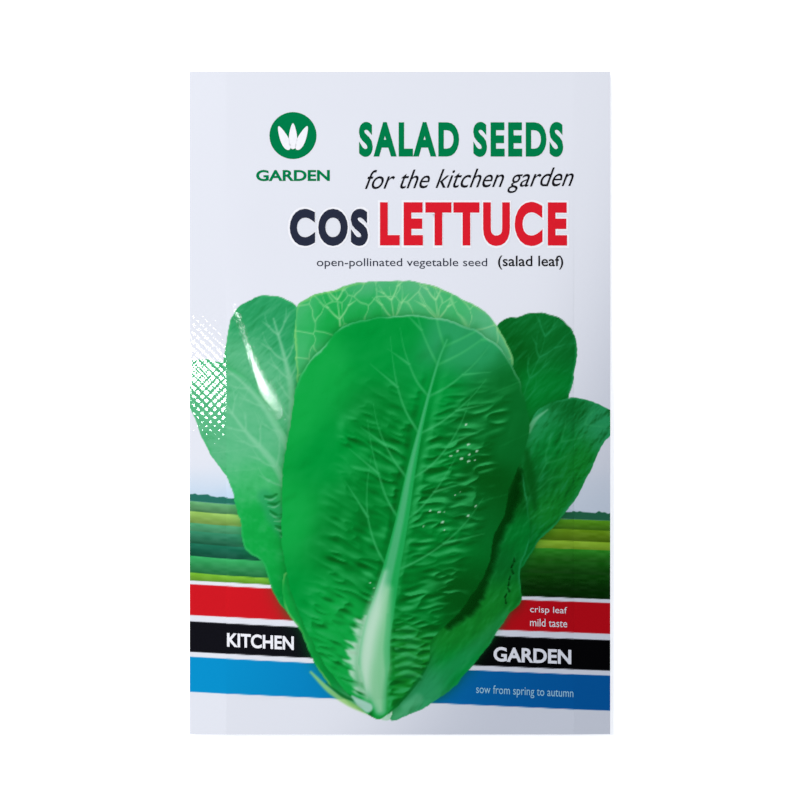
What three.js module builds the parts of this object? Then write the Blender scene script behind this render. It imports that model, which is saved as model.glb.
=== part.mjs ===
// A retail seed packet lying on its back: two rectangular panels of printed laminate, heat-sealed together all
// round, with loose lettuce seed settled in the lower part. Millimetres, +Z up.
// X runs across the packet, +Y towards its top edge, and the origin is under the middle of the bag, on the surface
// that it lies on. The front panel faces up.
//
// The film hardly bends in plan, so each panel is a height over the flat bag: a plane in the seal band, and inside
// it a pillow that is fullest low down, where the seed lies, and nearly flat in the empty head of the bag.
import * as THREE from 'three';

// Driving dimensions
const BAG_WIDTH = 120;
const BAG_LENGTH = 189;
const SIDE_SEAL = 10.5; // width of the knurled heat seal down each side
const END_SEAL = 10; // width of the seal along the top and the bottom
const FILM = 0.14; // thickness of one laminate panel
const WELD_LINE = 0.05; // what is left between the two panels in the seal
const SEAL_HEIGHT = 1.5; // underside of the seal band above the surface the bag lies on
const FRONT_RISE = 3.9; // front panel above the seal band, where the bag is fullest
const SEED_CLEARANCE = 0.3; // between the seed and each panel

// The pillow, with heights and places as shares: 1 is the fullest height, the half width or the half length inside
const FULLEST_Y = -0.3;
const SHOULDER_Y = 0.62; // above this the bag is empty and closes to its top seal
const HEAD_FULLNESS = 0.16; // how full the empty head of the bag stays
const REST_FULLNESS = 0.5; // where the bag is at least this full, its back lies flat on the surface
const CROWN_POWER = 0.9; // 1 gives a parabola across the bag, less a fuller crown

// The bed of seed, as shares of the half width and half length inside the seals
const BED_HALF_WIDTH = 0.93;
const BED_BOTTOM = -0.95;
const BED_TOP = 0.34;
const BED_ROUNDING = 0.32; // 0 gives square corners in plan, 0.5 an ellipse

const HALF_INSIDE_X = BAG_WIDTH / 2 - SIDE_SEAL;
const HALF_INSIDE_Y = BAG_LENGTH / 2 - END_SEAL;

const smooth = THREE.MathUtils.smoothstep;

// How full the bag is over a point, from 0 in the seals to 1 where it is fullest.
function fullness(x, y) {
  const across = x / HALF_INSIDE_X;
  const along = y / HALF_INSIDE_Y;
  if (Math.abs(across) >= 1 || Math.abs(along) >= 1) return 0;
  const section = Math.pow(1 - across * across, CROWN_POWER);
  const belowFullest = Math.max(0, (FULLEST_Y - along) / (FULLEST_Y + 1));
  const foot = Math.pow(1 - belowFullest * belowFullest, CROWN_POWER);
  const head = 1 - (1 - HEAD_FULLNESS) * smooth(along, FULLEST_Y, SHOULDER_Y);
  const closing = 1 - smooth(along, SHOULDER_Y, 1);
  return section * foot * head * closing;
}

const frontOutside = (x, y) => SEAL_HEIGHT + 2 * FILM + WELD_LINE + FRONT_RISE * fullness(x, y);
const frontInside = (x, y) => frontOutside(x, y) - FILM;
const backOutside = (x, y) => SEAL_HEIGHT * (1 - smooth(fullness(x, y), 0, REST_FULLNESS));
const backInside = (x, y) => backOutside(x, y) + FILM;

// The lines of a grid: each stretch is [end, steps], and the first line is at start.
function gridLines(start, stretches) {
  const lines = [start];
  for (const [end, steps] of stretches) {
    const from = lines.at(-1);
    for (let i = 1; i <= steps; i++) lines.push(from + ((end - from) * i) / steps);
  }
  return lines;
}

// A closed solid between two height fields. place(i, j) gives the plan position of each of the columns x rows posts.
function slab(columns, rows, place, lower, upper) {
  const positions = [];
  const faces = [];
  const post = (i, j, isUpper) => 2 * (j * columns + i) + (isUpper ? 1 : 0);
  for (let j = 0; j < rows; j++) {
    for (let i = 0; i < columns; i++) {
      const [x, y] = place(i, j);
      positions.push(x, y, lower(x, y), x, y, upper(x, y));
    }
  }
  const quad = (a, b, c, d) => faces.push(a, b, c, a, c, d);
  for (let j = 0; j + 1 < rows; j++) {
    for (let i = 0; i + 1 < columns; i++) {
      quad(post(i, j, true), post(i + 1, j, true), post(i + 1, j + 1, true), post(i, j + 1, true));
      quad(post(i, j + 1, false), post(i + 1, j + 1, false), post(i + 1, j, false), post(i, j, false));
    }
  }
  const wall = (i0, j0, i1, j1) =>
    quad(post(i0, j0, false), post(i1, j1, false), post(i1, j1, true), post(i0, j0, true));
  for (let i = 0; i + 1 < columns; i++) {
    wall(i, 0, i + 1, 0);
    wall(i + 1, rows - 1, i, rows - 1);
  }
  for (let j = 0; j + 1 < rows; j++) {
    wall(columns - 1, j, columns - 1, j + 1);
    wall(0, j + 1, 0, j);
  }
  const geometry = new THREE.BufferGeometry();
  geometry.setAttribute('position', new THREE.Float32BufferAttribute(positions, 3));
  geometry.setIndex(faces);
  geometry.computeVertexNormals();
  return geometry;
}

// One panel of laminate, the full size of the bag. Its grid is finer on the flanks beside the seals.
function panel(lower, upper) {
  const flankX = HALF_INSIDE_X * 0.78;
  const flankY = HALF_INSIDE_Y * 0.8;
  const xs = gridLines(-BAG_WIDTH / 2, [
    [-HALF_INSIDE_X, 1],
    [-flankX, 4],
    [flankX, 12],
    [HALF_INSIDE_X, 4],
    [BAG_WIDTH / 2, 1],
  ]);
  const ys = gridLines(-BAG_LENGTH / 2, [
    [-HALF_INSIDE_Y, 1],
    [-flankY, 4],
    [flankY, 20],
    [HALF_INSIDE_Y, 4],
    [BAG_LENGTH / 2, 1],
  ]);
  return slab(xs.length, ys.length, (i, j) => [xs[i], ys[j]], lower, upper);
}

// The seed as one settled bed: a rounded rectangle in plan, a little clear of both panels.
function seedBed() {
  const columns = 19;
  const rows = 25;
  const middle = (HALF_INSIDE_Y * (BED_TOP + BED_BOTTOM)) / 2;
  const halfLength = (HALF_INSIDE_Y * (BED_TOP - BED_BOTTOM)) / 2;
  const halfWidth = HALF_INSIDE_X * BED_HALF_WIDTH;
  // A square grid drawn in towards its corners
  const place = (i, j) => {
    const u = (2 * i) / (columns - 1) - 1;
    const v = (2 * j) / (rows - 1) - 1;
    return [
      halfWidth * u * Math.sqrt(1 - BED_ROUNDING * v * v),
      middle + halfLength * v * Math.sqrt(1 - BED_ROUNDING * u * u),
    ];
  };
  const lower = (x, y) => backInside(x, y) + SEED_CLEARANCE;
  const upper = (x, y) => frontInside(x, y) - SEED_CLEARANCE;
  return slab(columns, rows, place, lower, upper);
}

function piece(name, geometry, material) {
  const mesh = new THREE.Mesh(geometry, material);
  mesh.name = name;
  return mesh;
}

const printedFilm = new THREE.MeshStandardMaterial({ color: 0xe8ebf2, roughness: 0.22, metalness: 0 });
const backFilm = new THREE.MeshStandardMaterial({ color: 0xe4e8ee, roughness: 0.25, metalness: 0 });
const seedCoat = new THREE.MeshStandardMaterial({ color: 0x3b2f26, roughness: 0.7, metalness: 0 });

const packet = new THREE.Group();
packet.add(
  piece('front_film', panel(frontInside, frontOutside), printedFilm),
  piece('back_film', panel(backOutside, backInside), backFilm),
  piece('seed_fill', seedBed(), seedCoat),
);

export default packet;
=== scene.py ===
import math

import bmesh
import bpy
import numpy as np
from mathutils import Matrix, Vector


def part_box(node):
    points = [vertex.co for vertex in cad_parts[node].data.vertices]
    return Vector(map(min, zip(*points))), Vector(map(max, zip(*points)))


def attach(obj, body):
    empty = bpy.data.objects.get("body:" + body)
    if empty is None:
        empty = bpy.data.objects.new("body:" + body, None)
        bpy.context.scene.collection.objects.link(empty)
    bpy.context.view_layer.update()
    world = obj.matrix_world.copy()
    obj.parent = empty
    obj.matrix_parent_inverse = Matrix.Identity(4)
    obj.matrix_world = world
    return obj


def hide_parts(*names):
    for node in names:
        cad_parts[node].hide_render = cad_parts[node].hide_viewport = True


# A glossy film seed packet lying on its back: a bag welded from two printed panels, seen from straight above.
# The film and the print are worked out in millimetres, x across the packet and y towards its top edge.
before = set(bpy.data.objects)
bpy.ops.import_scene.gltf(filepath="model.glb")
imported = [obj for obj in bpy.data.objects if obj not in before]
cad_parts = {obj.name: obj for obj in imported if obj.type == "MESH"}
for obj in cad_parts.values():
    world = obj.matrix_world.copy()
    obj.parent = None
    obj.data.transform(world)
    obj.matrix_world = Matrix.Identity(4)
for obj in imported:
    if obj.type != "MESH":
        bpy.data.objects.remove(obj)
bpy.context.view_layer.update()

MM = 0.001
scene = bpy.context.scene

# ---------------------------------------------------------------- the bag's sizes, from the frame
front_low, front_high = (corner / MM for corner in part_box("front_film"))
back_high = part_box("back_film")[1] / MM
HALF_WIDTH = front_high.x
HALF_LENGTH = front_high.y
FILM = 0.14  # one panel of laminate
SIDE_SEAL = 10.5
END_SEAL = 10.0
HALF_INSIDE_X = HALF_WIDTH - SIDE_SEAL
HALF_INSIDE_Y = HALF_LENGTH - END_SEAL
SEAL_TOP = front_low.z + FILM  # the outside of the front panel in the seals
SEAL_UNDER = back_high.z - FILM  # the outside of the back panel in the seals
FRONT_RISE = front_high.z - SEAL_TOP

# The pillow, with heights and places as shares of the fullest height and of the half lengths inside the seals
FULLEST_Y = -0.3
SHOULDER_Y = 0.62
HEAD_FULLNESS = 0.16
REST_FULLNESS = 0.5
CROWN_POWER = 0.9


# ---------------------------------------------------------------- colours and nodes
def srgb(code):
    """'#rrggbb' as three numbers from 0 to 1, still in sRGB, which is how inks are mixed here."""
    return np.array([int(code[i : i + 2], 16) / 255 for i in (1, 3, 5)])


def to_linear(colour):
    colour = np.asarray(colour)
    return np.where(colour <= 0.04045, colour / 12.92, ((colour + 0.055) / 1.055) ** 2.4)


def linear_colour(code, level=1.0):
    return (*(to_linear(srgb(code)) * level), 1)


def node(owner, kind, inputs=None, **settings):
    """Adds a node to a material or the world, with its settings, and links or fills its inputs."""
    made = owner.node_tree.nodes.new(kind)
    for key, value in settings.items():
        setattr(made, key, value)
    for key, value in (inputs or {}).items():
        if isinstance(value, bpy.types.NodeSocket):
            owner.node_tree.links.new(value, made.inputs[key])
        else:
            made.inputs[key].default_value = value
    return made


def new_material(name):
    material = bpy.data.materials.new(name)
    material.use_nodes = True
    return material, material.node_tree.nodes["Principled BSDF"]


def connect(owner, output, target):
    owner.node_tree.links.new(output, target)


# ---------------------------------------------------------------- camera and light
def look_at(thing, target):
    thing.rotation_euler = (Vector(target) - thing.location).to_track_quat("-Z", "Y").to_euler()


def make_camera():
    """Straight above the packet, with the packet's top edge upwards, on a long lens."""
    lens, sensor = 100.0, 36.0
    picture_width = 228.0  # what the frame takes in across, at the height of the seals
    camera = bpy.data.objects.new("camera", bpy.data.cameras.new("camera"))
    camera.data.lens = lens
    camera.data.sensor_width = sensor
    distance = picture_width * lens / sensor
    off_centre = 0.85  # how far towards the top edge the camera stands
    camera.location = (0, off_centre * MM, (SEAL_TOP + distance) * MM)
    scene.collection.objects.link(camera)
    scene.camera = camera


def area_light(name, place, target, size, power, colour=(1, 1, 1), turn=0.0):
    """A rectangular softbox, turned about its own beam by some degrees. Places and sizes are in metres."""
    lamp = bpy.data.lights.new(name, "AREA")
    lamp.shape = "RECTANGLE"
    lamp.size, lamp.size_y = size
    lamp.energy = power
    lamp.color = colour
    thing = bpy.data.objects.new(name, lamp)
    thing.location = place
    scene.collection.objects.link(thing)
    look_at(thing, target)
    thing.rotation_euler.rotate_axis("Z", math.radians(turn))
    return thing


def light_only(lamp, piece):
    """Keeps a lamp to one piece, as a snoot and cards do in a studio."""
    lit = bpy.data.collections.new(lamp.name + " lights")
    lit.objects.link(piece)
    lamp.light_linking.receiver_collection = lit


def aim_from(target, direction, distance):
    """The place at a distance from a target, in a direction of x, y and z."""
    return Vector(target) + Vector(direction).normalized() * distance


def make_tent():
    """A white tent all round, open overhead where the camera looks in, so that the flat film mirrors
    nothing."""
    world = bpy.data.worlds.new("studio tent")
    scene.world = world
    world.use_nodes = True
    background = world.node_tree.nodes["Background"]
    background.inputs["Strength"].default_value = 0.85
    direction = node(world, "ShaderNodeTexCoord").outputs["Generated"]
    height = node(world, "ShaderNodeSeparateXYZ", {"Vector": direction}).outputs["Z"]
    opening = node(world, "ShaderNodeMapRange", {"Value": height, "From Min": 0.72, "From Max": 0.84})
    cool_white, nearly_black = (0.80, 0.865, 1.0, 1), (0.006, 0.006, 0.006, 1)
    cloth = node(
        world,
        "ShaderNodeMix",
        {"Factor": opening.outputs["Result"], 6: cool_white, 7: nearly_black},
        data_type="RGBA",
    )
    connect(world, cloth.outputs[2], background.inputs["Color"])


def make_lights():
    scene.view_settings.view_transform = "Standard"
    make_tent()
    softbox = aim_from((0, 0, 0), (-0.74, 0.28, 0.62), 1.7)
    box = area_light("side_softbox", softbox, (0, 0, 0), (0.7, 0.7), 19.5, (0.95, 0.94, 0.99))
    box.visible_glossy = False  # a polarising sheet over it keeps its mirror image off the film
    # A spot whose soft edge runs across the packet: it lights all but the lower right corner
    beam = bpy.data.lights.new("fading_spot", "SPOT")
    beam.energy = 45.0
    beam.spot_size = math.radians(33.3)
    beam.spot_blend = 0.13
    beam.shadow_soft_size = 0.012
    beam.color = (1.0, 0.94, 0.86)
    spot = bpy.data.objects.new("fading_spot", beam)
    spot.location = aim_from((0, 0, 0), (-0.26, 0.40, 0.75), 1.58)
    scene.collection.objects.link(spot)
    look_at(spot, (-0.340, 0.232, 0))


def make_floor():
    half = 1.5  # metres from its middle to each side
    corners = [(-half, -half, 0), (half, -half, 0), (half, half, 0), (-half, half, 0)]
    mesh = bpy.data.meshes.new("floor")
    mesh.from_pydata(corners, [], [(0, 1, 2, 3)])
    floor = bpy.data.objects.new("floor", mesh)
    scene.collection.objects.link(floor)
    # Opal acrylic sheet: matt, and lit from below, so that it stays white
    table, shader = new_material("white acrylic light table")
    shader.inputs["Base Color"].default_value = linear_colour("#f3f3f3")
    shader.inputs["Roughness"].default_value = 0.9
    shader.inputs["Specular IOR Level"].default_value = 0.1
    shader.inputs["Emission Color"].default_value = linear_colour("#ffffff")
    shader.inputs["Emission Strength"].default_value = 0.5
    mesh.materials.append(table)


make_camera()
make_lights()
make_floor()


# ---------------------------------------------------------------- small mathematics
def smooth(t, low, high):
    t = np.clip((t - low) / (high - low), 0, 1)
    return t * t * (3 - 2 * t)


def lattice(ix, iy, seed):
    """A repeatable random number from -1 to 1 for each whole pair."""
    h = (ix.astype(np.int64) * 374761393 + iy.astype(np.int64) * 668265263 + seed * 1442695041) & 0xFFFFFFFF
    h = ((h ^ (h >> 13)) * 1274126177) & 0xFFFFFFFF
    return ((h ^ (h >> 16)) & 0xFFFF) / 32767.5 - 1


def noise(x, y, seed):
    """Smooth noise from -1 to 1, with about one bump to a unit."""
    ix, iy = np.floor(x), np.floor(y)
    fx, fy = x - ix, y - iy
    ux = fx * fx * fx * (fx * (fx * 6 - 15) + 10)
    uy = fy * fy * fy * (fy * (fy * 6 - 15) + 10)
    low = lattice(ix, iy, seed) * (1 - ux) + lattice(ix + 1, iy, seed) * ux
    high = lattice(ix, iy + 1, seed) * (1 - ux) + lattice(ix + 1, iy + 1, seed) * ux
    return low * (1 - uy) + high * uy


def cloud(x, y, seed, octaves=3):
    """Noise with finer noise on it."""
    total, level = 0, 1.0
    for octave in range(octaves):
        total = total + level * noise(x, y, seed + 17 * octave)
        x, y = 1.6 * x + 1.2 * y, 1.6 * y - 1.2 * x
        level *= 0.5
    return total


def cell_walls(x, y, seed):
    """How far a point is from the wall between random cells of about one unit: 0 on a wall."""
    ix, iy = np.floor(x), np.floor(y)
    nearest = np.full(x.shape, 9.0)
    second = np.full(x.shape, 9.0)
    for dx in (-1, 0, 1):
        for dy in (-1, 0, 1):
            cx, cy = ix + dx, iy + dy
            px = cx + 0.5 + 0.42 * lattice(cx, cy, seed)
            py = cy + 0.5 + 0.42 * lattice(cx, cy, seed + 5)
            d = np.hypot(x - px, y - py)
            second = np.minimum(second, np.maximum(nearest, d))
            nearest = np.minimum(nearest, d)
    return (second - nearest) / 2


def curve(points, closed=False, steps=8):
    """A smooth line through the points, as short straight steps."""
    p = np.array(points, float)
    if closed:
        p = np.vstack([p[-1:], p, p[:2]])
    else:
        p = np.vstack([2 * p[0] - p[1], p, 2 * p[-1] - p[-2]])
    t = np.linspace(0, 1, steps, endpoint=False)[:, None]
    out = []
    for a, b, c, d in zip(p[:-3], p[1:-2], p[2:-1], p[3:]):
        squared, cubed = 2 * a - 5 * b + 4 * c - d, 3 * b - a - 3 * c + d
        out.append(0.5 * (2 * b + (c - a) * t + squared * t**2 + cubed * t**3))
    if not closed:
        out.append(p[-2:-1])
    return np.vstack(out)


def line_distance(x, y, path):
    """Distance to a path, and how far along the path the nearest point is, from 0 to 1."""
    best = np.full(x.shape, 1e9)
    along = np.zeros(x.shape)
    lengths = np.hypot(*np.diff(path, axis=0).T)
    ends = np.concatenate([[0], np.cumsum(lengths)])
    for (ax, ay), (bx, by), start, length in zip(path[:-1], path[1:], ends, lengths):
        ex, ey = bx - ax, by - ay
        t = np.clip(((x - ax) * ex + (y - ay) * ey) / (ex * ex + ey * ey + 1e-12), 0, 1)
        d = np.hypot(x - ax - t * ex, y - ay - t * ey)
        near = d < best
        best = np.where(near, d, best)
        along = np.where(near, (start + t * length) / ends[-1], along)
    return best, along


def inside_distance(x, y, outline):
    """Distance to a closed outline, positive inside it."""
    ring = np.vstack([outline, outline[:1]])
    d, _ = line_distance(x, y, ring)
    inside = np.zeros(x.shape, bool)
    for (ax, ay), (bx, by) in zip(ring[:-1], ring[1:]):
        if ay != by:
            crosses = ((ay > y) != (by > y)) & (x < (bx - ax) * (y - ay) / (by - ay) + ax)
            inside ^= crosses
    return np.where(inside, d, -d)


# ---------------------------------------------------------------- the shape of the film
def fullness(x, y):
    """How full the bag is over a point, from 0 in the seals to 1 where it is fullest."""
    across = np.clip(np.abs(x) / HALF_INSIDE_X, 0, 1)
    along = np.clip(y / HALF_INSIDE_Y, -1, 1)
    below = np.clip((FULLEST_Y - along) / (FULLEST_Y + 1), 0, 1)
    section = (1 - across**2) ** CROWN_POWER
    foot = (1 - below**2) ** CROWN_POWER
    head = 1 - (1 - HEAD_FULLNESS) * smooth(along, FULLEST_Y, SHOULDER_Y)
    closing = 1 - smooth(along, SHOULDER_Y, 1)
    return section * foot * head * closing


# Heights of what the film shows on top of its pillow
SEED_BUMPS = 0.014
SEED_SPACING = 2.3  # from bump to bump
SWELL = 0.03
PUCKERS = 0.012
ROLL = 0.065
ROLL_MIDDLE = 43.6  # from the packet's middle line
ROLL_WIDTH = 6.8


def film_relief(x, y):
    """What the seed and the seals do to the taut film: low bumps over the seed, a soft roll along
    each side, and puckers beside the seals."""
    inside_x = HALF_INSIDE_X - np.abs(x)
    inside_y = HALF_INSIDE_Y - np.abs(y)
    inside = np.clip(np.minimum(inside_x, inside_y), 0, None)
    full = fullness(x, y)
    seed = SEED_BUMPS * cloud(x / SEED_SPACING, y / SEED_SPACING, 3, 2) * smooth(full, 0.45, 0.9)
    swell = SWELL * noise(x / 14, y / 17, 8) * smooth(inside, 0, 14)
    pucker = PUCKERS * noise(x / 30, y / 5.5, 21) * smooth(inside, 0, 2) * np.exp(-inside_x / 6)
    roll = ROLL * np.exp(-(((np.abs(x) - ROLL_MIDDLE) / ROLL_WIDTH) ** 2)) * (1 - smooth(np.abs(y), 45, 75))
    return seed + swell + pucker + roll


def front_height(x, y):
    return SEAL_TOP + FRONT_RISE * fullness(x, y) + film_relief(x, y)


def back_height(x, y):
    """The outside of the back panel, which the seed presses flat on the surface."""
    return SEAL_UNDER * (1 - smooth(fullness(x, y), 0, REST_FULLNESS))


KNURL_PITCH = 2.4  # two rows of the diamond pattern that the heated jaws leave in the side seals
KNURL_DEPTH = 0.006


def droop(x, y):
    """How far a side seal hangs below the plane of the seals: the weight low in the bag bends it towards
    the table, by 1.5 degrees at the top and 4.5 at the bottom."""
    angle = 1.5 + 3.0 * smooth(-y, -85, 85)
    return np.tan(np.radians(angle)) * np.clip(np.abs(x) - HALF_INSIDE_X, 0, None)


def knurl(x, y):
    """The embossed pattern of a side seal, dying out at the seal's edges."""
    edge = np.minimum(HALF_WIDTH - np.abs(x), np.abs(x) - HALF_INSIDE_X)
    pattern = np.cos(2 * np.pi * x / KNURL_PITCH) * np.cos(2 * np.pi * y / KNURL_PITCH)
    return KNURL_DEPTH * pattern * smooth(edge, 0, 0.8)


# ---------------------------------------------------------------- the printed picture
PRINT_LEVEL = 0.80  # the studio light is a little stronger than 1, so inks are printed this much darker
WHITE_INK = srgb("#ebeef4")
LIGHT_X, LIGHT_Y = -0.6, 0.8  # the picture's own light, from the upper left
STRIPE_FALL = 0.045  # how much the stripes fall towards the right
FIELD_FALL = 0.047


class Sheet:
    """A grid of points on the film and the colour printed at each, in sRGB."""

    def __init__(self, xs, ys):
        self.xs, self.ys = xs, ys
        self.x, self.y = np.meshgrid(xs, ys)
        self.rgb = np.ones(self.x.shape + (3,)) * WHITE_INK

    def window(self, outline, margin):
        """The part of the grid around an outline."""
        low, high = outline.min(0) - margin, outline.max(0) + margin
        i0, i1 = np.searchsorted(self.xs, (low[0], high[0]))
        j0, j1 = np.searchsorted(self.ys, (low[1], high[1]))
        return (slice(j0, j1), slice(i0, i1)) if i1 - i0 > 2 and j1 - j0 > 2 else None

    def ink(self, colour, cover, where=(slice(None), slice(None))):
        below = self.rgb[where]
        self.rgb[where] = below + (colour - below) * np.asarray(cover)[..., None]


def blend(x, y, tints, reach=7.0):
    """Inks that run softly into each other: each of (x, y, '#rrggbb') is strongest at its own place."""
    total, weights = 0, 0
    for tx, ty, code in tints:
        weight = ((x - tx) ** 2 + (y - ty) ** 2 + reach**2) ** -2.5
        total = total + weight[..., None] * srgb(code)
        weights = weights + weight
    return total / weights[..., None]


def shade(colour, slope, light, dark, strength):
    """Lightens an ink where a relief faces the light, and darkens it where it faces away."""
    bright = np.clip(slope * strength, 0, 0.8)[..., None]
    dim = np.clip(-slope * strength, 0, 0.8)[..., None]
    colour = colour + (srgb(light) - colour) * bright
    return colour + (srgb(dark) - colour) * dim


def slope_of(relief, sheet, where):
    dy, dx = np.gradient(relief, sheet.ys[where[0]], sheet.xs[where[1]])
    return -dx * LIGHT_X - dy * LIGHT_Y


# The lettuce's inks, from its pale flesh to the gaps between its leaves
FLESH = "#d2eed8"
LIME = "#a2dc7c"
PALE = "#8ad2a4"
SAGE = "#5cbc84"
SPRING = "#44bc6e"
JADE = "#2ca262"
BRIGHT = "#10aa44"
GRASS = "#009838"
GREEN = "#04842e"
FERN = "#148a2a"
DEEP = "#0a6e28"
SHADE = "#065414"
HOLLOW = "#002e04"


def paint_leaf(
    sheet,
    outline,
    tints,
    seed,
    veins=(),
    vein_ink=PALE,
    vein_cover=0.6,
    vein_width=0.3,
    net=None,
    folds=None,
    light=SPRING,
    dark=DEEP,
    strength=0.8,
    rim=LIME,
    rim_cover=0.6,
    rim_from=-100,
    shadow=0.35,
):
    """One leaf of the picture. Its blade is a relief of veins and folds, lit from the upper left. net is the
    size in mm of the mesh that its finest veins make. Its pale rim shows above the height rim_from."""
    edge = curve(outline, closed=True)
    where = sheet.window(edge, 6)
    if where is None:
        return
    x, y = sheet.x[where], sheet.y[where]
    bend = 0.3 * noise(x / 3.1, y / 3.1, seed + 60) + 0.1 * noise(x / 0.9, y / 0.9, seed + 61)
    deep = inside_distance(x, y, edge) + bend
    fall = shadow * np.exp(-np.clip(-deep, 0, None) / 1.3)
    sheet.ink(srgb(dark), fall * smooth(WHITE_INK.sum() - sheet.rgb[where].sum(-1), 0.3, 0.9), where)

    colour = blend(x, y, tints)
    relief = 0.25 * cloud(x / 9, y / 9, seed)
    lines = np.zeros(x.shape)
    for path in veins:
        d, t = line_distance(x, y, curve(path))
        lines = np.maximum(lines, np.exp(-((d / (vein_width * (1.25 - 0.8 * t))) ** 2)) * (1 - 0.7 * t))
        relief += 0.12 * (1 - np.exp(-d / 1.6)) * (1 - t)
    if net is not None:
        wall = cell_walls(x / net + 0.15 * noise(x / 3, y / 3, seed), y / (1.4 * net), seed)
        lines = np.maximum(lines, 0.6 * np.exp(-((wall * net / 0.15) ** 2)))
        relief += 0.25 * smooth(wall, 0, 0.3)
    if folds is not None:
        relief += folds(x, y)
    colour = shade(colour, slope_of(relief, sheet, where), light, dark, strength)
    colour = colour + (srgb(vein_ink) - colour) * (vein_cover * lines)[..., None]
    patchy = smooth(noise(x / 6, y / 6, seed + 9), -0.8, 0.4)
    patchy = patchy * smooth(y, rim_from - 8, rim_from + 8)
    rim_line = rim_cover * patchy * np.exp(-(((deep - 0.25) / 0.3) ** 2))
    colour = colour + (srgb(rim) - colour) * rim_line[..., None]
    sheet.ink(colour, smooth(deep, -0.12, 0.12), where)


def grow_veins(rib, count, angle, length, seed, curl=14, sides=(-1, 1)):
    """Side veins. They leave a rib, drawn from foot to tip, at even steps, bend towards its tip and fork."""
    random = np.random.default_rng(seed)
    line = curve(rib)
    veins = [rib]
    for k in range(count):
        start = int((k + 0.5) / count * (len(line) - 1))
        ahead = line[start + 1] - line[start]
        for side in sides:
            turn = math.atan2(ahead[1], ahead[0]) + side * math.radians(angle * random.uniform(0.85, 1.15))
            step = length / 4 * (1 - 0.4 * k / count) * random.uniform(0.8, 1.2)
            path = [line[start]]
            for _ in range(4):
                path.append(path[-1] + step * np.array([math.cos(turn), math.sin(turn)]))
                turn -= side * math.radians(curl * random.uniform(0.4, 1.6))
            fork = turn + side * math.radians(50)
            veins += [path, [path[2], path[2] + 1.4 * step * np.array([math.cos(fork), math.sin(fork)])]]
    return veins


def stroke(sheet, path, width, ink, cover, soft=0.15, ragged=0.0):
    """A brush stroke along a path. The widths are spread evenly along it, and ragged feathers its edges, both
    in mm."""
    line = curve(path)
    where = sheet.window(line, max(width) + 1 + ragged)
    if where is None:
        return
    x, y = sheet.x[where], sheet.y[where]
    d, t = line_distance(x, y, line)
    half = np.interp(t, np.linspace(0, 1, len(width)), width) / 2
    feather = ragged * cloud(x / 4.2, (y + 0.5 * x) / 1.5, 47, 2)
    sheet.ink(srgb(ink), cover * smooth(half + feather - d, -soft, soft), where)


def scatter_drops(sheet, count, low, high, size, seed):
    """Drops of water on a leaf: small bright spots, strewn over a box."""
    random = np.random.default_rng(seed)
    for x, y in random.uniform(low, high, (count, 2)):
        width = size * random.uniform(0.6, 1.3)
        stroke(sheet, ((x - width / 3, y), (x + width / 3, y + width / 5)), (width, width), FLESH, 0.8, 0.12)


def band(v, low, high, soft=0.15):
    """Cover of a band between two heights."""
    return smooth(v, low - soft, low + soft) * (1 - smooth(v, high - soft, high + soft))


def paint_sky(sheet):
    x, y = sheet.x, sheet.y
    drift = 2.0 * cloud(x / 30, y / 9, 41)
    blue = srgb("#b6d6ee") + (srgb("#dce6f0") - srgb("#b6d6ee")) * smooth(x, -30, 40)[..., None]
    sheet.ink(blue, 0.95 * (1 - smooth(y + drift, -31, -14)))
    hills = y + 0.10 * x - 0.3 * drift
    sheet.ink(srgb("#c2d4e6"), 0.7 * smooth(x, 20, 40) * (1 - smooth(hills, -26.2, -25.2)))


def paint_fields(sheet):
    """Rolling fields under the sky, in haze on the left and in low sun on the right. Each one darkens
    downwards."""
    x, y = sheet.x, sheet.y
    level = y + FIELD_FALL * x + 0.3 * noise(x / 16, 0 * y, 71)
    right = smooth(x, -15, 15)[..., None]
    # (height of a field's far edge, ink on the left, ink on the right, how much it darkens)
    fields = (
        (-31.0, "#70bc7a", "#68b024", 0.35),
        (-33.9, "#a4d468", "#78a820", 0.30),
        (-37.2, "#54ac78", "#a0d038", 0.20),
        (-39.5, "#38926a", "#349a28", 0.35),
        (-43.0, "#22785a", "#206c1a", 0.35),
        (-46.6, "#40ba6a", "#145010", 0.40),
        (-51.4, "#86cc3c", "#0c380a", 0.30),
    )
    floors = [top for top, *_ in fields[1:]] + [-53.6]
    for (top, left_ink, right_ink, fade), floor in zip(fields, floors):
        ink = srgb(left_ink) + (srgb(right_ink) - srgb(left_ink)) * right
        down = np.clip((top - level) / (top - floor), 0, 1)[..., None]
        grain = 0.03 * noise(x / 2.5, level / 0.7, 77)[..., None]
        sheet.ink(ink * (1 - fade * down) + grain, 1 - smooth(level, top - 0.12, top + 0.12))
    treetops = -28.9 + 0.4 * noise(x / 2.2, 0 * y, 72) + 0.2 * noise(x / 0.9, 0 * y, 73)
    tree_ink = srgb("#2a7464") + (srgb("#2a6e4e") - srgb("#2a7464")) * right
    sheet.ink(tree_ink, band(level, -31.0, treetops))


def paint_stripes(sheet):
    """White from the fields down, with a red, a black and a blue stripe on it. Each stripe is drawn a little
    deeper to the right: painted shade for the studio light falling off across the packet."""
    x, y = sheet.x, sheet.y
    u = y + STRIPE_FALL * x
    sheet.ink(WHITE_INK, 1 - smooth(u, -53.45, -53.25))
    right = smooth(x, -60, 60)[..., None]
    for top, bottom, left_ink, right_ink in (
        (-54.4, -63.2, "#d61a24", "#ce101c"),
        (-65.0, -73.7, "#14141a", "#060608"),
        (-75.1, -85.1, "#0a96d0", "#0861aa"),
    ):
        # the right-hand ink is the stripe's own ink deepened as painted shade, where the light falls off
        # towards the right
        ink = srgb(left_ink) + (srgb(right_ink) - srgb(left_ink)) * right
        sheet.ink(ink, band(u, bottom, top, 0.13))


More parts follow.
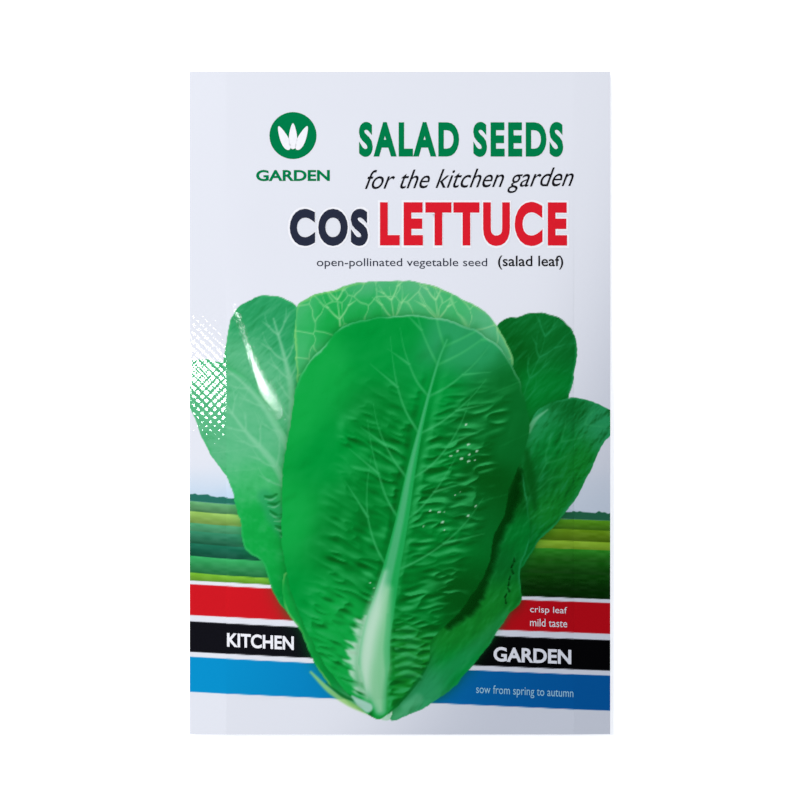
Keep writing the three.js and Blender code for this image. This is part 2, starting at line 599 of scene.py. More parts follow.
def paint_lettuce(sheet):
    """A head of cos lettuce standing in front of the fields, from its hindmost leaf to the front one."""
    paint_back_right(sheet)
    paint_back_left(sheet)
    paint_top(sheet)
    paint_right(sheet)
    paint_left(sheet)
    paint_cups(sheet)
    paint_front_leaf(sheet)
    paint_rib(sheet)


def paint_back_right(sheet):
    paint_leaf(
        sheet,
        outline=(
            (27, 21), (33, 24.5), (39.5, 25.6), (46, 23.8), (50, 19), (50.3, 12), (47.6, 1), (41, -9),
            (33, -9), (27, 6),
        ),
        tints=((38, 21, DEEP), (46, 18, DEEP), (36, 4, GREEN), (32, 14, SHADE), (45, 2, GREEN)),
        seed=11,
        veins=grow_veins(((33, -4), (36.5, 6), (40, 14), (42, 22)), 4, 38, 11, 111),
        vein_ink=JADE,
        vein_cover=0.5,
        vein_width=0.24,
        folds=lambda x, y: 0.12 * cloud((x + y) / 6, (y - x) / 2.2, 90),
        light=JADE,
        dark=SHADE,
        rim=JADE,
        shadow=0.0,
    )


def paint_back_left(sheet):
    rib = ((-30.4, -8), (-30.6, 2), (-32.6, 12), (-36, 24))
    paint_leaf(
        sheet,
        outline=(
            (-49.3, 20), (-46.5, 26.5), (-40, 30.2), (-33, 29.6), (-28, 24), (-25, 1), (-29, -16), (-42, -10),
            (-49.6, 6),
        ),
        tints=((-44, 26, JADE), (-34, 27, JADE), (-45, 12, SAGE), (-31, 20, JADE), (-38, 4, SAGE)),
        seed=12,
        veins=grow_veins(rib, 5, 42, 12, 121),
        vein_cover=0.7,
        folds=lambda x, y: 0.16 * cloud((x + y) / 6, (y - x) / 2.4, 95),
        light=PALE,
        dark=DEEP,
        strength=0.6,
        rim=SPRING,
        shadow=0.0,
    )
    stroke(sheet, rib, (3.2, 2.0, 1.0, 0.3), PALE, 0.7, 0.5)


def paint_top(sheet):
    veins = []
    for k, x in enumerate((-17, -1.6, 11)):
        veins += grow_veins(((x, 22), (x - 0.4, 26), (x - 1.4, 33)), 2, 40, 9, 131 + k, curl=8)
    paint_leaf(
        sheet,
        outline=(
            (-29.7, 25), (-26.5, 29.6), (-18, 32.4), (-11, 34.4), (-3, 34.9), (6, 34.2), (13, 31.8),
            (20, 28.4), (26, 24), (30.5, 17), (32, 10.8), (24, 6), (0, 10), (-20, 6), (-28.5, 3),
        ),
        tints=(
            (-27, 27, SPRING), (-20, 24, BRIGHT), (-8, 27, BRIGHT), (2, 27, SPRING), (14, 27, SPRING),
            (25, 21, SAGE), (-27, 12, SPRING), (-8, 33.5, SAGE), (6, 33.5, SAGE),
        ),
        seed=13,
        veins=veins,
        vein_ink="#b4eca8",
        vein_cover=0.75,
        vein_width=0.26,
        net=5.2,
        light=SAGE,
        dark=GRASS,
        strength=0.7,
        shadow=0.2,
    )


def paint_right(sheet):
    rib = ((33, -38), (38, -24), (46, -11), (57, -3.5))
    paint_leaf(
        sheet,
        outline=(
            (35, -8), (39, -2.4), (44, 0.6), (50, 1.2), (56, -0.2), (61.5, -3.2), (61.5, -7.5), (57, -13),
            (52, -24), (45.5, -33), (39, -40), (34, -47), (29, -47), (26, -27.5), (30, -12),
        ),
        tints=(
            (38, -5, JADE), (48, 0, DEEP), (58, -5, JADE), (44, -12, GREEN), (38, -22, DEEP), (50, -18, FERN),
            (44, -30, FERN), (36, -42, GREEN),
        ),
        seed=14,
        veins=grow_veins(rib, 5, 40, 12, 141),
        vein_ink=SPRING,
        vein_cover=0.3,
        folds=lambda x, y: 0.35 * cloud((x + 1.6 * y) / 7, (1.6 * x - y) / 4, 97),
        light=JADE,
        dark=SHADE,
        rim=JADE,
    )
    stroke(sheet, ((36.4, -8), (38.6, -4.6), (42, -1.9)), (1.6, 1.0, 0.2), PALE, 0.7, 0.4)
    stroke(sheet, ((36, -14), (37.4, -23), (38.4, -30)), (1.5, 3.2, 1.0), SHADE, 0.7, 1.0)


def paint_left(sheet):
    ribs = (
        ((-32, -12), (-38, -2), (-44, 5), (-50, 10)),
        ((-31, -26), (-36, -17), (-44, -8), (-50, 0)),
    )
    veins = grow_veins(ribs[0], 4, 45, 9, 151, sides=(1,)) + grow_veins(ribs[1], 5, 45, 11, 152)
    paint_leaf(
        sheet,
        outline=(
            (-62, 11), (-55, 12.2), (-49, 10.8), (-42, 5), (-34.5, -6.5), (-28, -14), (-22, -30), (-22, -50),
            (-30, -60), (-35.5, -54.5), (-38.6, -46), (-44, -41), (-45.6, -33), (-49, -22), (-55, -13),
            (-58.8, -4), (-62, 4.5),
        ),
        tints=(
            (-56, 7, SAGE), (-52, -8, SAGE), (-42, -10, SAGE), (-38, -22, SPRING), (-33, -12, SAGE),
            (-40, -33, BRIGHT), (-32, -46, BRIGHT), (-31, -58, GRASS),
        ),
        seed=15,
        veins=veins,
        vein_cover=0.55,
        folds=lambda x, y: 0.3 * cloud((x - y) / 7, (y + x) / 2.8, 99),
        light=PALE,
        dark=GREEN,
        strength=0.6,
        rim=SPRING,
        shadow=0.2,
    )
    for rib in ribs:
        stroke(sheet, rib, (2.4, 2.0, 1.2, 0.3), PALE, 0.6, 0.5)
    # A curl low in the leaf: each fold is dark with a light lip under it
    stroke(sheet, ((-38.5, -26.5), (-35.6, -31), (-33.4, -38)), (4.0, 6.0, 1.5), JADE, 0.7, 1.2)
    for k in range(6):
        x, y = -38.4 + 0.8 * k + 0.5 * math.sin(3 * k), -26.4 - 2.1 * k
        rise = 1.3 * math.sin(2.3 * k + 0.4)
        fold = np.array([(x, y), (x + 1.8, y + 0.5 * rise - 0.5), (x + 3.4, y + rise)])
        stroke(sheet, fold, (0.2, 0.9, 0.2), DEEP, 0.7, 0.3, ragged=0.3)
        stroke(sheet, fold - (0, 0.9), (0.1, 0.6, 0.1), PALE, 0.6, 0.25)


def paint_cups(sheet):
    """The two outer leaves that cup the foot of the head."""
    paint_leaf(
        sheet,
        outline=(
            (33, -17), (36.4, -29), (37, -39), (34.4, -46), (34.2, -56), (30.6, -60.4), (26.5, -67),
            (18.5, -77.5), (10, -85), (2, -89), (-3, -90.2), (0, -80), (6, -55), (24, -36),
        ),
        tints=(
            (32, -26, SHADE), (35, -38, GREEN), (29, -46, DEEP), (32, -56, FERN), (24, -60, FERN),
            (15, -66, FERN), (18, -75, GRASS), (6, -82, JADE), (-1, -87, SAGE),
        ),
        seed=16,
        folds=lambda x, y: 0.25 * cloud((x - 0.6 * y) / 3.4, (y + 0.6 * x) / 7, 101),
        light=SPRING,
        dark=SHADE,
        rim=JADE,
    )
    gap = ((33.6, -20), (31.4, -28), (27, -38), (24, -48), (20, -57), (14, -63))
    stroke(sheet, gap, (2.0, 5.0, 4.0, 3.6, 5.0, 2.0), HOLLOW, 0.85, 1.2, ragged=0.5)
    stroke(sheet, ((30, -60), (21, -70), (9, -80), (0, -86)), (1.5, 4.0, 5.0, 3.0), JADE, 0.5, 1.8)
    for k in range(8):
        x, y = 32.4 - 0.35 * k, -44.5 - 1.7 * k
        stroke(sheet, ((x, y + 0.5), (x + 0.5 * math.sin(4 * k), y - 0.5)), (0.3, 0.6), HOLLOW, 0.8)

    paint_leaf(
        sheet,
        outline=(
            (-31, -48), (-33.6, -53), (-32, -60), (-28, -65), (-25.4, -72), (-20.4, -80), (-13, -86.6),
            (-3, -90.3), (-4, -78), (-16, -60),
        ),
        tints=((-31, -56, BRIGHT), (-26, -70, BRIGHT), (-18, -79, GRASS), (-12, -84, SAGE), (-8, -88, FLESH)),
        seed=17,
        folds=lambda x, y: 0.2 * cloud((x - y) / 6, (y + x) / 2.4, 103),
        light=SPRING,
        dark=GREEN,
        shadow=0.3,
    )
    stroke(sheet, ((-25.4, -76.6), (-20, -82), (-14, -86), (-8, -89)), (0.6, 1.5, 1.5, 0.5), LIME, 0.85, 0.4)
    stroke(sheet, ((-21, -79.8), (-16, -83.6), (-10.8, -85.4)), (0.3, 1.0, 0.4), DEEP, 0.8, 0.3)


# The front leaf's midrib, from foot to tip, and its widths
RIB = (
    (-5.6, -87.4), (-7.2, -78), (-6.8, -67), (-3.8, -53), (0.4, -34), (3.4, -18), (7.6, 0), (11, 12),
    (13.4, 18),
)
RIB_WIDTHS = (3.4, 9.0, 7.4, 4.9, 3.7, 2.6, 1.2, 0.6, 0.3)


def beside_rib(x, y):
    """How far right of the midrib a point is."""
    rib_x, rib_y = np.array(RIB).T
    return x - np.interp(y, rib_y, rib_x)


def quilting(x, y):
    """The front leaf's folds. They run out from the midrib, level on its right and climbing on its left, and
    the leaf is smooth at its margin and its tip."""
    across = beside_rib(x, y)
    out = np.abs(across)
    level = y - np.where(across < 0, 0.5, 0.08) * out
    fold = 1 - np.abs(cloud(across / 7.5, level / 3.0, 105, 2))
    reach = smooth(out, 1.5, 4) * (1 - smooth(out + 4 * noise(x / 7, y / 7, 108), 17, 26))
    return 1.7 * fold * reach * (1 - smooth(y + 3 * noise(x / 8, y / 8, 107), -12, 14))


def paint_front_leaf(sheet):
    paint_leaf(
        sheet,
        outline=(
            (-28.6, 7.5), (-22, 16), (-17, 21.2), (-10, 23.8), (0, 25), (11, 24), (20, 21.4), (27.5, 16.6),
            (33, 8.5), (36.6, -5), (35, -15), (31.2, -24), (30, -31), (26.6, -38), (25, -46), (20.6, -54),
            (16, -60.5), (9.4, -67), (8, -74), (3.5, -81), (-3.3, -88.6), (-8, -89.4), (-17, -80.6),
            (-24, -70), (-29, -59), (-33, -44), (-33.4, -22), (-31, -5),
        ),
        tints=(
            (-30, -4, BRIGHT), (-31, -34, BRIGHT), (-29, -58, GRASS), (-22, 10, BRIGHT), (-20, -14, GRASS),
            (-18, -38, GREEN), (-20, -62, BRIGHT), (-18, -76, BRIGHT), (-8, 16, GRASS), (-6, -4, GREEN),
            (-8, -26, GREEN), (-6, -46, GREEN), (2, 21, GRASS), (12, 18, JADE), (22, 16, JADE),
            (11, 2, GRASS), (10, -16, GREEN), (10, -38, GREEN), (8, -58, GREEN), (5, -72, FERN),
            (20, -4, DEEP), (20, -28, DEEP), (25, -22, SHADE), (15, -56, SHADE), (30, 4, DEEP),
            (31, -12, DEEP),
        ),
        seed=20,
        veins=grow_veins(RIB[3:], 7, 46, 34, 201, curl=9),
        vein_ink=SPRING,
        vein_cover=0.8,
        vein_width=0.32,
        folds=quilting,
        light="#38b864",
        dark=SHADE,
        strength=0.85,
        rim=PALE,
        rim_cover=0.7,
        rim_from=8,
    )
    scatter_drops(sheet, 9, (14, -17), (22, -6), 0.45, 31)
    scatter_drops(sheet, 10, (6, -38), (22, -25), 0.4, 32)
    scatter_drops(sheet, 4, (-12, -55), (-4, -48), 0.4, 33)


def paint_rib(sheet):
    """The midrib, broad and pale at the foot, with pale feathered flesh beside it."""
    flesh = ((-11.4, -81), (-12, -73), (-9.6, -65), (-5.6, -55))
    stroke(sheet, flesh, (3.0, 5.0, 3.6, 0.8), FLESH, 0.8, 1.3, ragged=2.4)
    stroke(sheet, RIB[1:], [2.2 + width for width in RIB_WIDTHS[1:]], GREEN, 0.35, 1.0)
    stroke(sheet, RIB, RIB_WIDTHS, "#22ac56", 0.95, 0.2)
    lit = [(x - 0.12 * width, y) for (x, y), width in zip(RIB, RIB_WIDTHS)]
    stroke(sheet, lit, [0.5 * width for width in RIB_WIDTHS], SAGE, 0.7, 0.5)
    stroke(sheet, RIB[:4], (2.4, 8.6, 6.6, 2.4), "#9cdaa8", 0.85, 1.6)
    core = ((-9.4, -84), (-9.8, -74), (-8.2, -63), (-4.2, -48))
    stroke(sheet, core, (1.0, 4.0, 4.2, 0.5), FLESH, 0.75, 1.7)
    stroke(sheet, ((-3.6, -80), (-4, -70), (-3.4, -60)), (0.5, 1.6, 0.4), SPRING, 0.5, 0.6)
    stroke(sheet, ((-13.6, -83.6), (-11.4, -85.4), (-9.2, -86.8)), (0.6, 2.0, 2.8), "#b4dccc", 0.9, 0.4)
    stroke(sheet, ((1.2, -86.6), (5, -84.4)), (1.6, 3.2), SAGE, 0.6, 0.9)
    stroke(sheet, ((8.8, -72.4), (6, -77.6), (2, -83), (-3.2, -88.4)), (0.2, 0.9, 0.8, 0.4), DEEP, 0.85, 0.3)
    for k in range(6):
        fold = np.array([(-1.2, -64.5), (2.2, -63.8), (6, -64.8)]) - (0, 2.6 * k)
        stroke(sheet, fold, (0.3, 1.2, 0.3), SPRING, 0.6, 0.4, ragged=0.3)
        stroke(sheet, fold - (0, 1.1), (0.3, 1.1, 0.3), DEEP, 0.55, 0.4, ragged=0.3)


def paint_front(sheet):
    paint_sky(sheet)
    paint_fields(sheet)
    paint_stripes(sheet)
    paint_lettuce(sheet)


def paint_back(sheet):
    """A plain back: a green bar over the ruled lines of an empty sowing table."""
    x, y = sheet.x, sheet.y
    sheet.ink(srgb("#1d8a4a"), band(y, 52, 66) * band(x, -42, 42))
    table = band(y, -50, 40) * band(x, -42, 42)
    rule = np.exp(-((((y + 50) % 10 - 5) / 0.5) ** 2))
    sheet.ink(srgb("#8fb8a0"), table * rule)


# ---------------------------------------------------------------- materials
def polyester_film(material, shader):
    """Clear polyester over the ink: smooth, with the faint orange peel of a laminated film stretched over
    seed, and slightly hazier in broad patches where it was handled."""
    peel_size, peel_depth, haze_size = 0.6 * MM, 0.0045 * MM, 11 * MM
    spot = node(material, "ShaderNodeTexCoord").outputs["Object"]
    peel = node(
        material,
        "ShaderNodeTexNoise",
        {"Vector": spot, "Scale": 1 / peel_size, "Detail": 3.0, "Roughness": 0.55},
    )
    bump = node(
        material,
        "ShaderNodeBump",
        {"Height": peel.outputs["Fac"], "Distance": peel_depth, "Strength": 1.0},
    )
    haze = node(material, "ShaderNodeTexNoise", {"Vector": spot, "Scale": 1 / haze_size, "Detail": 2.0})
    rough = node(
        material,
        "ShaderNodeMapRange",
        {"Value": haze.outputs["Fac"], "To Min": 0.012, "To Max": 0.03},
    )
    connect(material, bump.outputs["Normal"], shader.inputs["Normal"])
    connect(material, rough.outputs["Result"], shader.inputs["Roughness"])
    shader.inputs["IOR"].default_value = 1.57


def printed_laminate():
    """Gravure print behind clear polyester, on white polyethylene: the print gives the colour, the film the
    gloss."""
    material, shader = new_material("gravure print under polyester film")
    ink = node(material, "ShaderNodeAttribute", attribute_name="print")
    connect(material, ink.outputs["Color"], shader.inputs["Base Color"])
    polyester_film(material, shader)
    return material


def gravure_ink(name, code):
    """One solid spot ink under the same film. A gravure cylinder lays it a little unevenly, in a mottle of
    about 0.1 mm, which is drawn coarser so that it shows."""
    material, shader = new_material("gravure ink, " + name)
    mottle_size, unevenness = 0.8 * MM, 0.07
    thick_ink = linear_colour(code, PRINT_LEVEL * (1 - unevenness))
    thin_ink = linear_colour(code, PRINT_LEVEL * (1 + unevenness))
    spot = node(material, "ShaderNodeTexCoord").outputs["Object"]
    mottle = node(material, "ShaderNodeTexNoise", {"Vector": spot, "Scale": 1 / mottle_size, "Detail": 2.0})
    ink = node(
        material,
        "ShaderNodeMix",
        {"Factor": mottle.outputs["Fac"], 6: thick_ink, 7: thin_ink},
        data_type="RGBA",
    )
    connect(material, ink.outputs[2], shader.inputs["Base Color"])
    polyester_film(material, shader)
    return material


def seed_coat():
    """Dry lettuce seed: a matt husk in patches of dark and lighter brown, finely ribbed."""
    material, shader = new_material("dry lettuce seed husk")
    patch_size, rib_pitch, rib_height = 2.5 * MM, 1.6 * MM, 0.03 * MM
    spot = node(material, "ShaderNodeTexCoord").outputs["Object"]
    patch = node(material, "ShaderNodeTexNoise", {"Vector": spot, "Scale": 1 / patch_size, "Detail": 3.0})
    ribs = node(material, "ShaderNodeTexWave", {"Vector": spot, "Scale": 1 / rib_pitch, "Distortion": 2.0})
    brown = node(
        material,
        "ShaderNodeMix",
        {"Factor": patch.outputs["Fac"], 6: linear_colour("#2e231b"), 7: linear_colour("#6b5644")},
        data_type="RGBA",
    )
    bump = node(
        material,
        "ShaderNodeBump",
        {"Height": ribs.outputs["Fac"], "Distance": rib_height, "Strength": 1.0},
    )
    connect(material, brown.outputs[2], shader.inputs["Base Color"])
    connect(material, bump.outputs["Normal"], shader.inputs["Normal"])
    shader.inputs["Roughness"].default_value = 0.75
    return material


# ---------------------------------------------------------------- the film pieces
def film_panel(name, sheet, outer, inner, faces_up, material):
    """A closed sheet of laminate with a fine outer face, a coarse inner face a film's thickness away, and a
    rim."""
    rows, columns = sheet.x.shape
    coarse = 10  # steps of the outer face to one of the inner
    keep_i = sorted({*range(0, columns, coarse), columns - 1})
    keep_j = sorted({*range(0, rows, coarse), rows - 1})
    kept = np.zeros((rows, columns), bool)
    kept[np.ix_(keep_j, keep_i)] = True
    kept[0] = kept[-1] = kept[:, 0] = kept[:, -1] = True
    outer_index = np.arange(rows * columns).reshape(rows, columns)
    inner_index = np.full((rows, columns), -1)
    inner_index[kept] = rows * columns + np.arange(kept.sum())

    points = np.vstack(
        [
            np.column_stack([sheet.x.ravel(), sheet.y.ravel(), outer.ravel()]),
            np.column_stack([sheet.x[kept], sheet.y[kept], inner[kept]]),
        ]
    )
    corners = [outer_index[:-1, :-1], outer_index[:-1, 1:], outer_index[1:, 1:], outer_index[1:, :-1]]
    faces = np.stack(corners, -1).reshape(-1, 4).tolist()
    fine = len(faces)
    for j0, j1 in zip(keep_j[:-1], keep_j[1:]):
        for i0, i1 in zip(keep_i[:-1], keep_i[1:]):
            ring = [(j, i0) for j in range(j0, j1)] + [(j1, i) for i in range(i0, i1)]
            ring += [(j, i1) for j in range(j1, j0, -1)] + [(j0, i) for i in range(i1, i0, -1)]
            faces.append([int(inner_index[p]) for p in ring if inner_index[p] >= 0])
    rim = [(0, i) for i in range(columns)] + [(j, columns - 1) for j in range(1, rows)]
    rim += [(rows - 1, i) for i in range(columns - 2, -1, -1)] + [(j, 0) for j in range(rows - 2, 0, -1)]
    for a, b in zip(rim, rim[1:] + rim[:1]):
        faces.append([int(inner_index[a]), int(inner_index[b]), int(outer_index[b]), int(outer_index[a])])
    if not faces_up:
        faces = [face[::-1] for face in faces]

    mesh = bpy.data.meshes.new(name)
    mesh.from_pydata((points * MM).tolist(), [], faces)
    mesh.shade_smooth()
    mesh.set_sharp_from_angle(angle=math.radians(40))

    ink = np.ones((len(points), 4))
    ink[:, :3] = to_linear(WHITE_INK) * PRINT_LEVEL
    ink[: rows * columns, :3] = to_linear(np.clip(sheet.rgb, 0, 1)).reshape(-1, 3) * PRINT_LEVEL
    colours = mesh.color_attributes.new("print", "FLOAT_COLOR", "POINT")
    colours.data.foreach_set("color", ink.ravel())

    # A flat layout: the printed face fills it, and the rim and inner face share a narrow strip along the top
    corner = np.zeros(len(mesh.loops), int)
    mesh.loops.foreach_get("vertex_index", corner)
    u = (points[:, 0] - sheet.xs[0]) / (sheet.xs[-1] - sheet.xs[0])
    v = (points[:, 1] - sheet.ys[0]) / (sheet.ys[-1] - sheet.ys[0])
    flat = np.column_stack([u[corner], v[corner] * 0.98])
    flat[fine * 4 :, 1] = 0.985 + 0.015 * v[corner[fine * 4 :]]
    layer = mesh.uv_layers.new(name="OFBake")
    layer.data.foreach_set("uv", flat.ravel())
    mesh.materials.append(material)
    return add_piece(name, mesh)


def add_piece(name, mesh):
    piece = bpy.data.objects.new(name, mesh)
    scene.collection.objects.link(piece)
    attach(piece, "root")
    return piece


def grid_lines(low, high, pitch):
    return np.linspace(low, high, round((high - low) / pitch) + 1)


PRINT_PITCH = 0.3  # the front picture is drawn to about this grain
BACK_PITCH = 0.75


def make_front(material):
    across = grid_lines(-HALF_INSIDE_X, HALF_INSIDE_X, PRINT_PITCH)
    sheet = Sheet(across, grid_lines(-HALF_LENGTH, HALF_LENGTH, PRINT_PITCH))
    paint_front(sheet)
    outer = front_height(sheet.x, sheet.y)
    panel = film_panel("front_panel", sheet, outer, outer - FILM, True, material)
    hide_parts("front_film")
    return panel


def make_side_seal(name, side, material):
    """Both panels welded into one strip, embossed by the jaws. The front panel's print runs on over it."""
    ends = sorted((side * HALF_INSIDE_X, side * HALF_WIDTH))
    pitch = KNURL_PITCH / 14  # fine enough for the embossed diamonds to be round
    sheet = Sheet(grid_lines(*ends, pitch), grid_lines(-HALF_LENGTH, HALF_LENGTH, pitch))
    paint_front(sheet)
    relief = knurl(sheet.x, sheet.y) - droop(sheet.x, sheet.y)
    return film_panel(name, sheet, SEAL_TOP + relief, SEAL_UNDER + relief, True, material)


def make_back(material):
    across = grid_lines(-HALF_INSIDE_X, HALF_INSIDE_X, BACK_PITCH)
    sheet = Sheet(across, grid_lines(-HALF_LENGTH, HALF_LENGTH, BACK_PITCH))
    paint_back(sheet)
    outer = back_height(sheet.x, sheet.y)
    panel = film_panel("back_panel", sheet, outer, outer + FILM, False, material)
    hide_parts("back_film")


# ---------------------------------------------------------------- crisp print: words and the badge
LOWER_INK, MIDDLE_INK, UPPER_INK = 0.04, 0.05, 0.08  # how far each layer lies above the film


def drape(name, mesh, ink, lift, grain=1.5):
    """Lays a flat shape, drawn in mm, on the front panel. It is first cut into a grain fine enough to bend
    with the film."""
    work = bmesh.new()
    work.from_mesh(mesh)
    for axis in (0, 1):
        places = [vert.co[axis] for vert in work.verts]
        cut = math.floor(min(places) / grain) * grain + grain
        while cut < max(places):
            origin, normal = Vector((0, 0, 0)), Vector((0, 0, 0))
            origin[axis], normal[axis] = cut, 1
            everything = work.verts[:] + work.edges[:] + work.faces[:]
            bmesh.ops.bisect_plane(work, geom=everything, plane_co=origin, plane_no=normal, dist=1e-4)
            cut += grain
    bmesh.ops.triangulate(work, faces=work.faces[:])
    bmesh.ops.remove_doubles(work, verts=work.verts[:], dist=1e-4)
    for face in work.faces:
        face.smooth = True
        if face.normal.z < 0:
            face.normal_flip()
    x = np.array([vert.co.x for vert in work.verts])
    y = np.array([vert.co.y for vert in work.verts])
    z = front_height(x, y) + lift
    for vert, height in zip(work.verts, z):
        vert.co = Vector((vert.co.x, vert.co.y, height)) * MM
    work.to_mesh(mesh)
    work.free()
    mesh.materials.append(ink)
    return add_piece(name, mesh)


def words(name, text, box, ink, lift=MIDDLE_INK, weight=0.0, slant=0.0, tilt=0.0, grain=1.5, spacing=1.0):
    """Plain lettering fitted to a box of left, bottom, right and top. weight thickens it, slant leans it, and
    tilt turns the line in degrees."""
    font = bpy.data.curves.new(name, "FONT")
    font.body = text
    font.resolution_u = 5
    font.offset = weight
    font.shear = slant
    font.space_character = spacing
    draft = bpy.data.objects.new(name + "_draft", font)
    scene.collection.objects.link(draft)
    bpy.context.view_layer.update()
    mesh = bpy.data.meshes.new_from_object(draft.evaluated_get(bpy.context.evaluated_depsgraph_get()))
    bpy.data.objects.remove(draft)
    points = np.array([vert.co for vert in mesh.vertices])
    low, high = points.min(0), points.max(0)
    left, bottom, right, top = box
    turn = math.tan(math.radians(tilt))
    for vert in mesh.vertices:
        x = left + (vert.co.x - low[0]) / (high[0] - low[0]) * (right - left)
        y = bottom + (vert.co.y - low[1]) / (high[1] - low[1]) * (top - bottom)
        vert.co = (x, y + turn * (x - (left + right) / 2), 0)
    mesh.name = name
    return drape(name, mesh, ink, lift, grain)


def flat_shapes(name, outlines, ink, lift):
    mesh = bpy.data.meshes.new(name)
    points, faces = [], []
    for outline in outlines:
        faces.append(list(range(len(points), len(points) + len(outline))))
        points += [(x, y, 0) for x, y in outline]
    mesh.from_pydata(points, [], faces)
    return drape(name, mesh, ink, lift)


def disc(cx, cy, radius, corners=48):
    turns = [2 * math.pi * k / corners for k in range(corners)]
    return [(cx + radius * math.cos(t), cy + radius * math.sin(t)) for t in turns]


def seed_outline(cx, cy, length, width, lean):
    """A pointed oval, like a lettuce seed seen flat."""
    cos, sin = math.cos(math.radians(lean)), math.sin(math.radians(lean))
    points = []
    for k in range(24):
        t = 2 * math.pi * k / 24
        along, across = length / 2 * math.cos(t), width / 2 * math.sin(t) * (1 - 0.35 * math.cos(t))
        points.append((cx + along * cos - across * sin, cy + along * sin + across * cos))
    return points


def make_lettering():
    green = gravure_ink("dark green", "#00804a")
    navy = gravure_ink("navy", "#2b3042")
    red = gravure_ink("warm red", "#e3202f")
    white = gravure_ink("white", "#fbfcff")
    black = gravure_ink("black", "#17171c")
    pale = gravure_ink("pale blue", "#a9dcf0")

    flat_shapes("badge_disc", [disc(-30.5, 76.2, 6.7)], green, LOWER_INK)
    seeds = [seed_outline(-30.5 + 2.6 * k, 76.0 - 0.5 * abs(k), 7.4, 2.3, 90 - 24 * k) for k in (-1, 0, 1)]
    flat_shapes("badge_seeds", seeds, white, UPPER_INK)
    words("print_garden", "GARDEN", (-41.0, 63.2, -20.0, 66.4), green, weight=0.03)
    words("print_seeds", "SALAD SEEDS", (-11.7, 70.1, 46.5, 80.1), green, weight=0.045, spacing=1.22)
    words("print_line", "for the kitchen garden", (-10, 59.6, 49.5, 66.8), black, slant=0.45, tilt=0.9)
    # The name of the kind, with each word over a slightly bolder white one that edges it
    edge, face = {"ink": white, "lift": LOWER_INK}, {"lift": UPPER_INK, "weight": 0.05}
    words("print_cos_edge", "COS", (-32.0, 44.1, -8.5, 55.9), weight=0.07, spacing=1.17, **edge)
    words("print_cos", "COS", (-31.4, 44.7, -9.1, 55.3), navy, spacing=1.2, **face)
    words("print_lettuce_edge", "LETTUCE", (-6.3, 44.0, 48.2, 57.9), weight=0.075, spacing=1.2, **edge)
    words("print_lettuce", "LETTUCE", (-5.7, 44.7, 47.6, 57.3), red, spacing=1.23, **face)
    words("print_small", "open-pollinated vegetable seed", (-23.7, 38.2, 24.8, 41.2), navy)
    words("print_kind", "(salad leaf)", (27.9, 38.0, 46.5, 42.0), black, weight=0.01)
    fall = {"tilt": -math.degrees(math.atan(STRIPE_FALL)), "grain": 1.0}
    words("print_stripe_left", "KITCHEN", (-49.3, -69.9, -30.2, -65.9), white, weight=0.03, **fall)
    words("print_stripe_right", "GARDEN", (26.6, -74.0, 48.8, -69.8), white, weight=0.03, **fall)
    words("print_crisp", "crisp leaf", (37.0, -60.3, 47.6, -57.9), white, **fall)
    words("print_mild", "mild taste", (37.0, -63.7, 47.6, -61.5), white, **fall)
    words("print_sow", "sow from spring to autumn", (21.7, -84.0, 49.4, -80.8), pale, **fall)


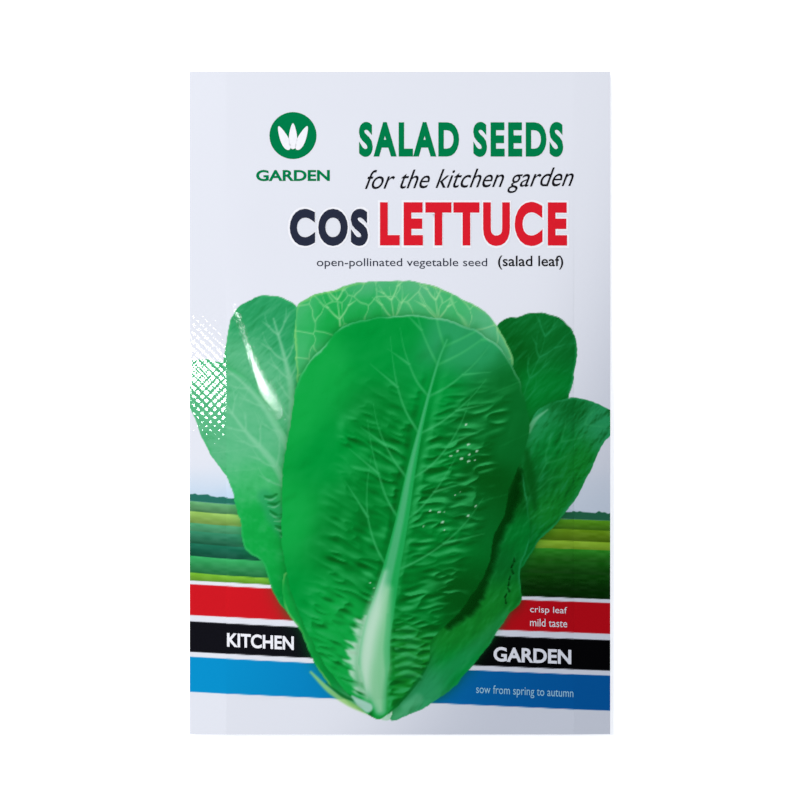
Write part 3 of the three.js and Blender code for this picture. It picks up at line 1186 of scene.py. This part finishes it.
# ---------------------------------------------------------------- the seed
def make_seed(material):
    """The loose seed, settled flat in the lower part of the bag: pointed grains about 3.8 x 1 x 0.5 mm."""
    length, half_width, half_depth = 3.8, 0.5, 0.24
    rings, sides = 7, 6
    template = []
    for r in range(1, rings):
        t = r / rings
        girth = math.sin(math.pi * t**0.8) ** 0.75
        for s in range(sides):
            a = 2 * math.pi * s / sides
            across, deep = half_width * girth * math.cos(a), half_depth * girth * math.sin(a)
            template.append((length * (t - 0.5), across, deep))
    template = np.array([(-length / 2, 0, 0)] + template + [(length / 2, 0, 0)])
    last = len(template) - 1
    skin = [(0, 1 + (s + 1) % sides, 1 + s) for s in range(sides)]
    for r in range(rings - 2):
        for s in range(sides):
            a, b = 1 + r * sides + s, 1 + r * sides + (s + 1) % sides
            skin.append((a, b, b + sides, a + sides))
    skin += [(last, last - sides + s, last - sides + (s + 1) % sides) for s in range(sides)]

    low, high = (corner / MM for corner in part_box("seed_fill"))
    random = np.random.default_rng(7)
    points, faces = [], []
    count = 1400
    while len(points) < count:
        x, y = random.uniform(low.x, high.x), random.uniform(low.y, high.y)
        if fullness(x, y) < 0.2:  # too thin for a grain
            continue
        floor = back_height(x, y) + FILM + 0.6
        ceiling = SEAL_TOP + FRONT_RISE * fullness(x, y) - FILM - 0.75
        turn, roll = random.uniform(0, 2 * math.pi), random.normal(0, 0.12)
        grain = template * random.uniform(0.85, 1.1)
        cos, sin = math.cos(turn), math.sin(turn)
        gx, gy = grain[:, 0] * cos - grain[:, 1] * sin, grain[:, 0] * sin + grain[:, 1] * cos
        gz = grain[:, 2] + grain[:, 0] * math.sin(roll) + random.uniform(floor, max(floor, ceiling))
        faces += [[corner + len(points) * len(template) for corner in face] for face in skin]
        points.append(np.column_stack([gx + x, gy + y, gz]))
    mesh = bpy.data.meshes.new("loose_seed")
    mesh.from_pydata((np.vstack(points) * MM).tolist(), [], faces)
    mesh.shade_smooth()
    mesh.materials.append(material)
    piece = add_piece("loose_seed", mesh)
    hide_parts("seed_fill")


laminate = printed_laminate()
front_panel = make_front(laminate)
left_seal = make_side_seal("left_seal", -1, laminate)
make_side_seal("right_seal", 1, laminate)
# Two small lamps above the camera, to its left: the left flank of the bag mirrors one as a bright streak, and
# the left seal mirrors the other in its embossed pattern
flank, seal = (-0.04, 0.01, 0), (-0.0545, 0.005, 0)
streak_lamp = area_light("streak_lamp", (-0.2626, 0.0645, 1.0), flank, (0.008, 0.018), 0.031, turn=74)
light_only(streak_lamp, front_panel)
seal_lamp = area_light("seal_lamp", (-0.247, 0.016, 1.0), seal, (0.030, 0.030), 0.16)
light_only(seal_lamp, left_seal)
make_back(laminate)
make_lettering()
make_seed(seed_coat())
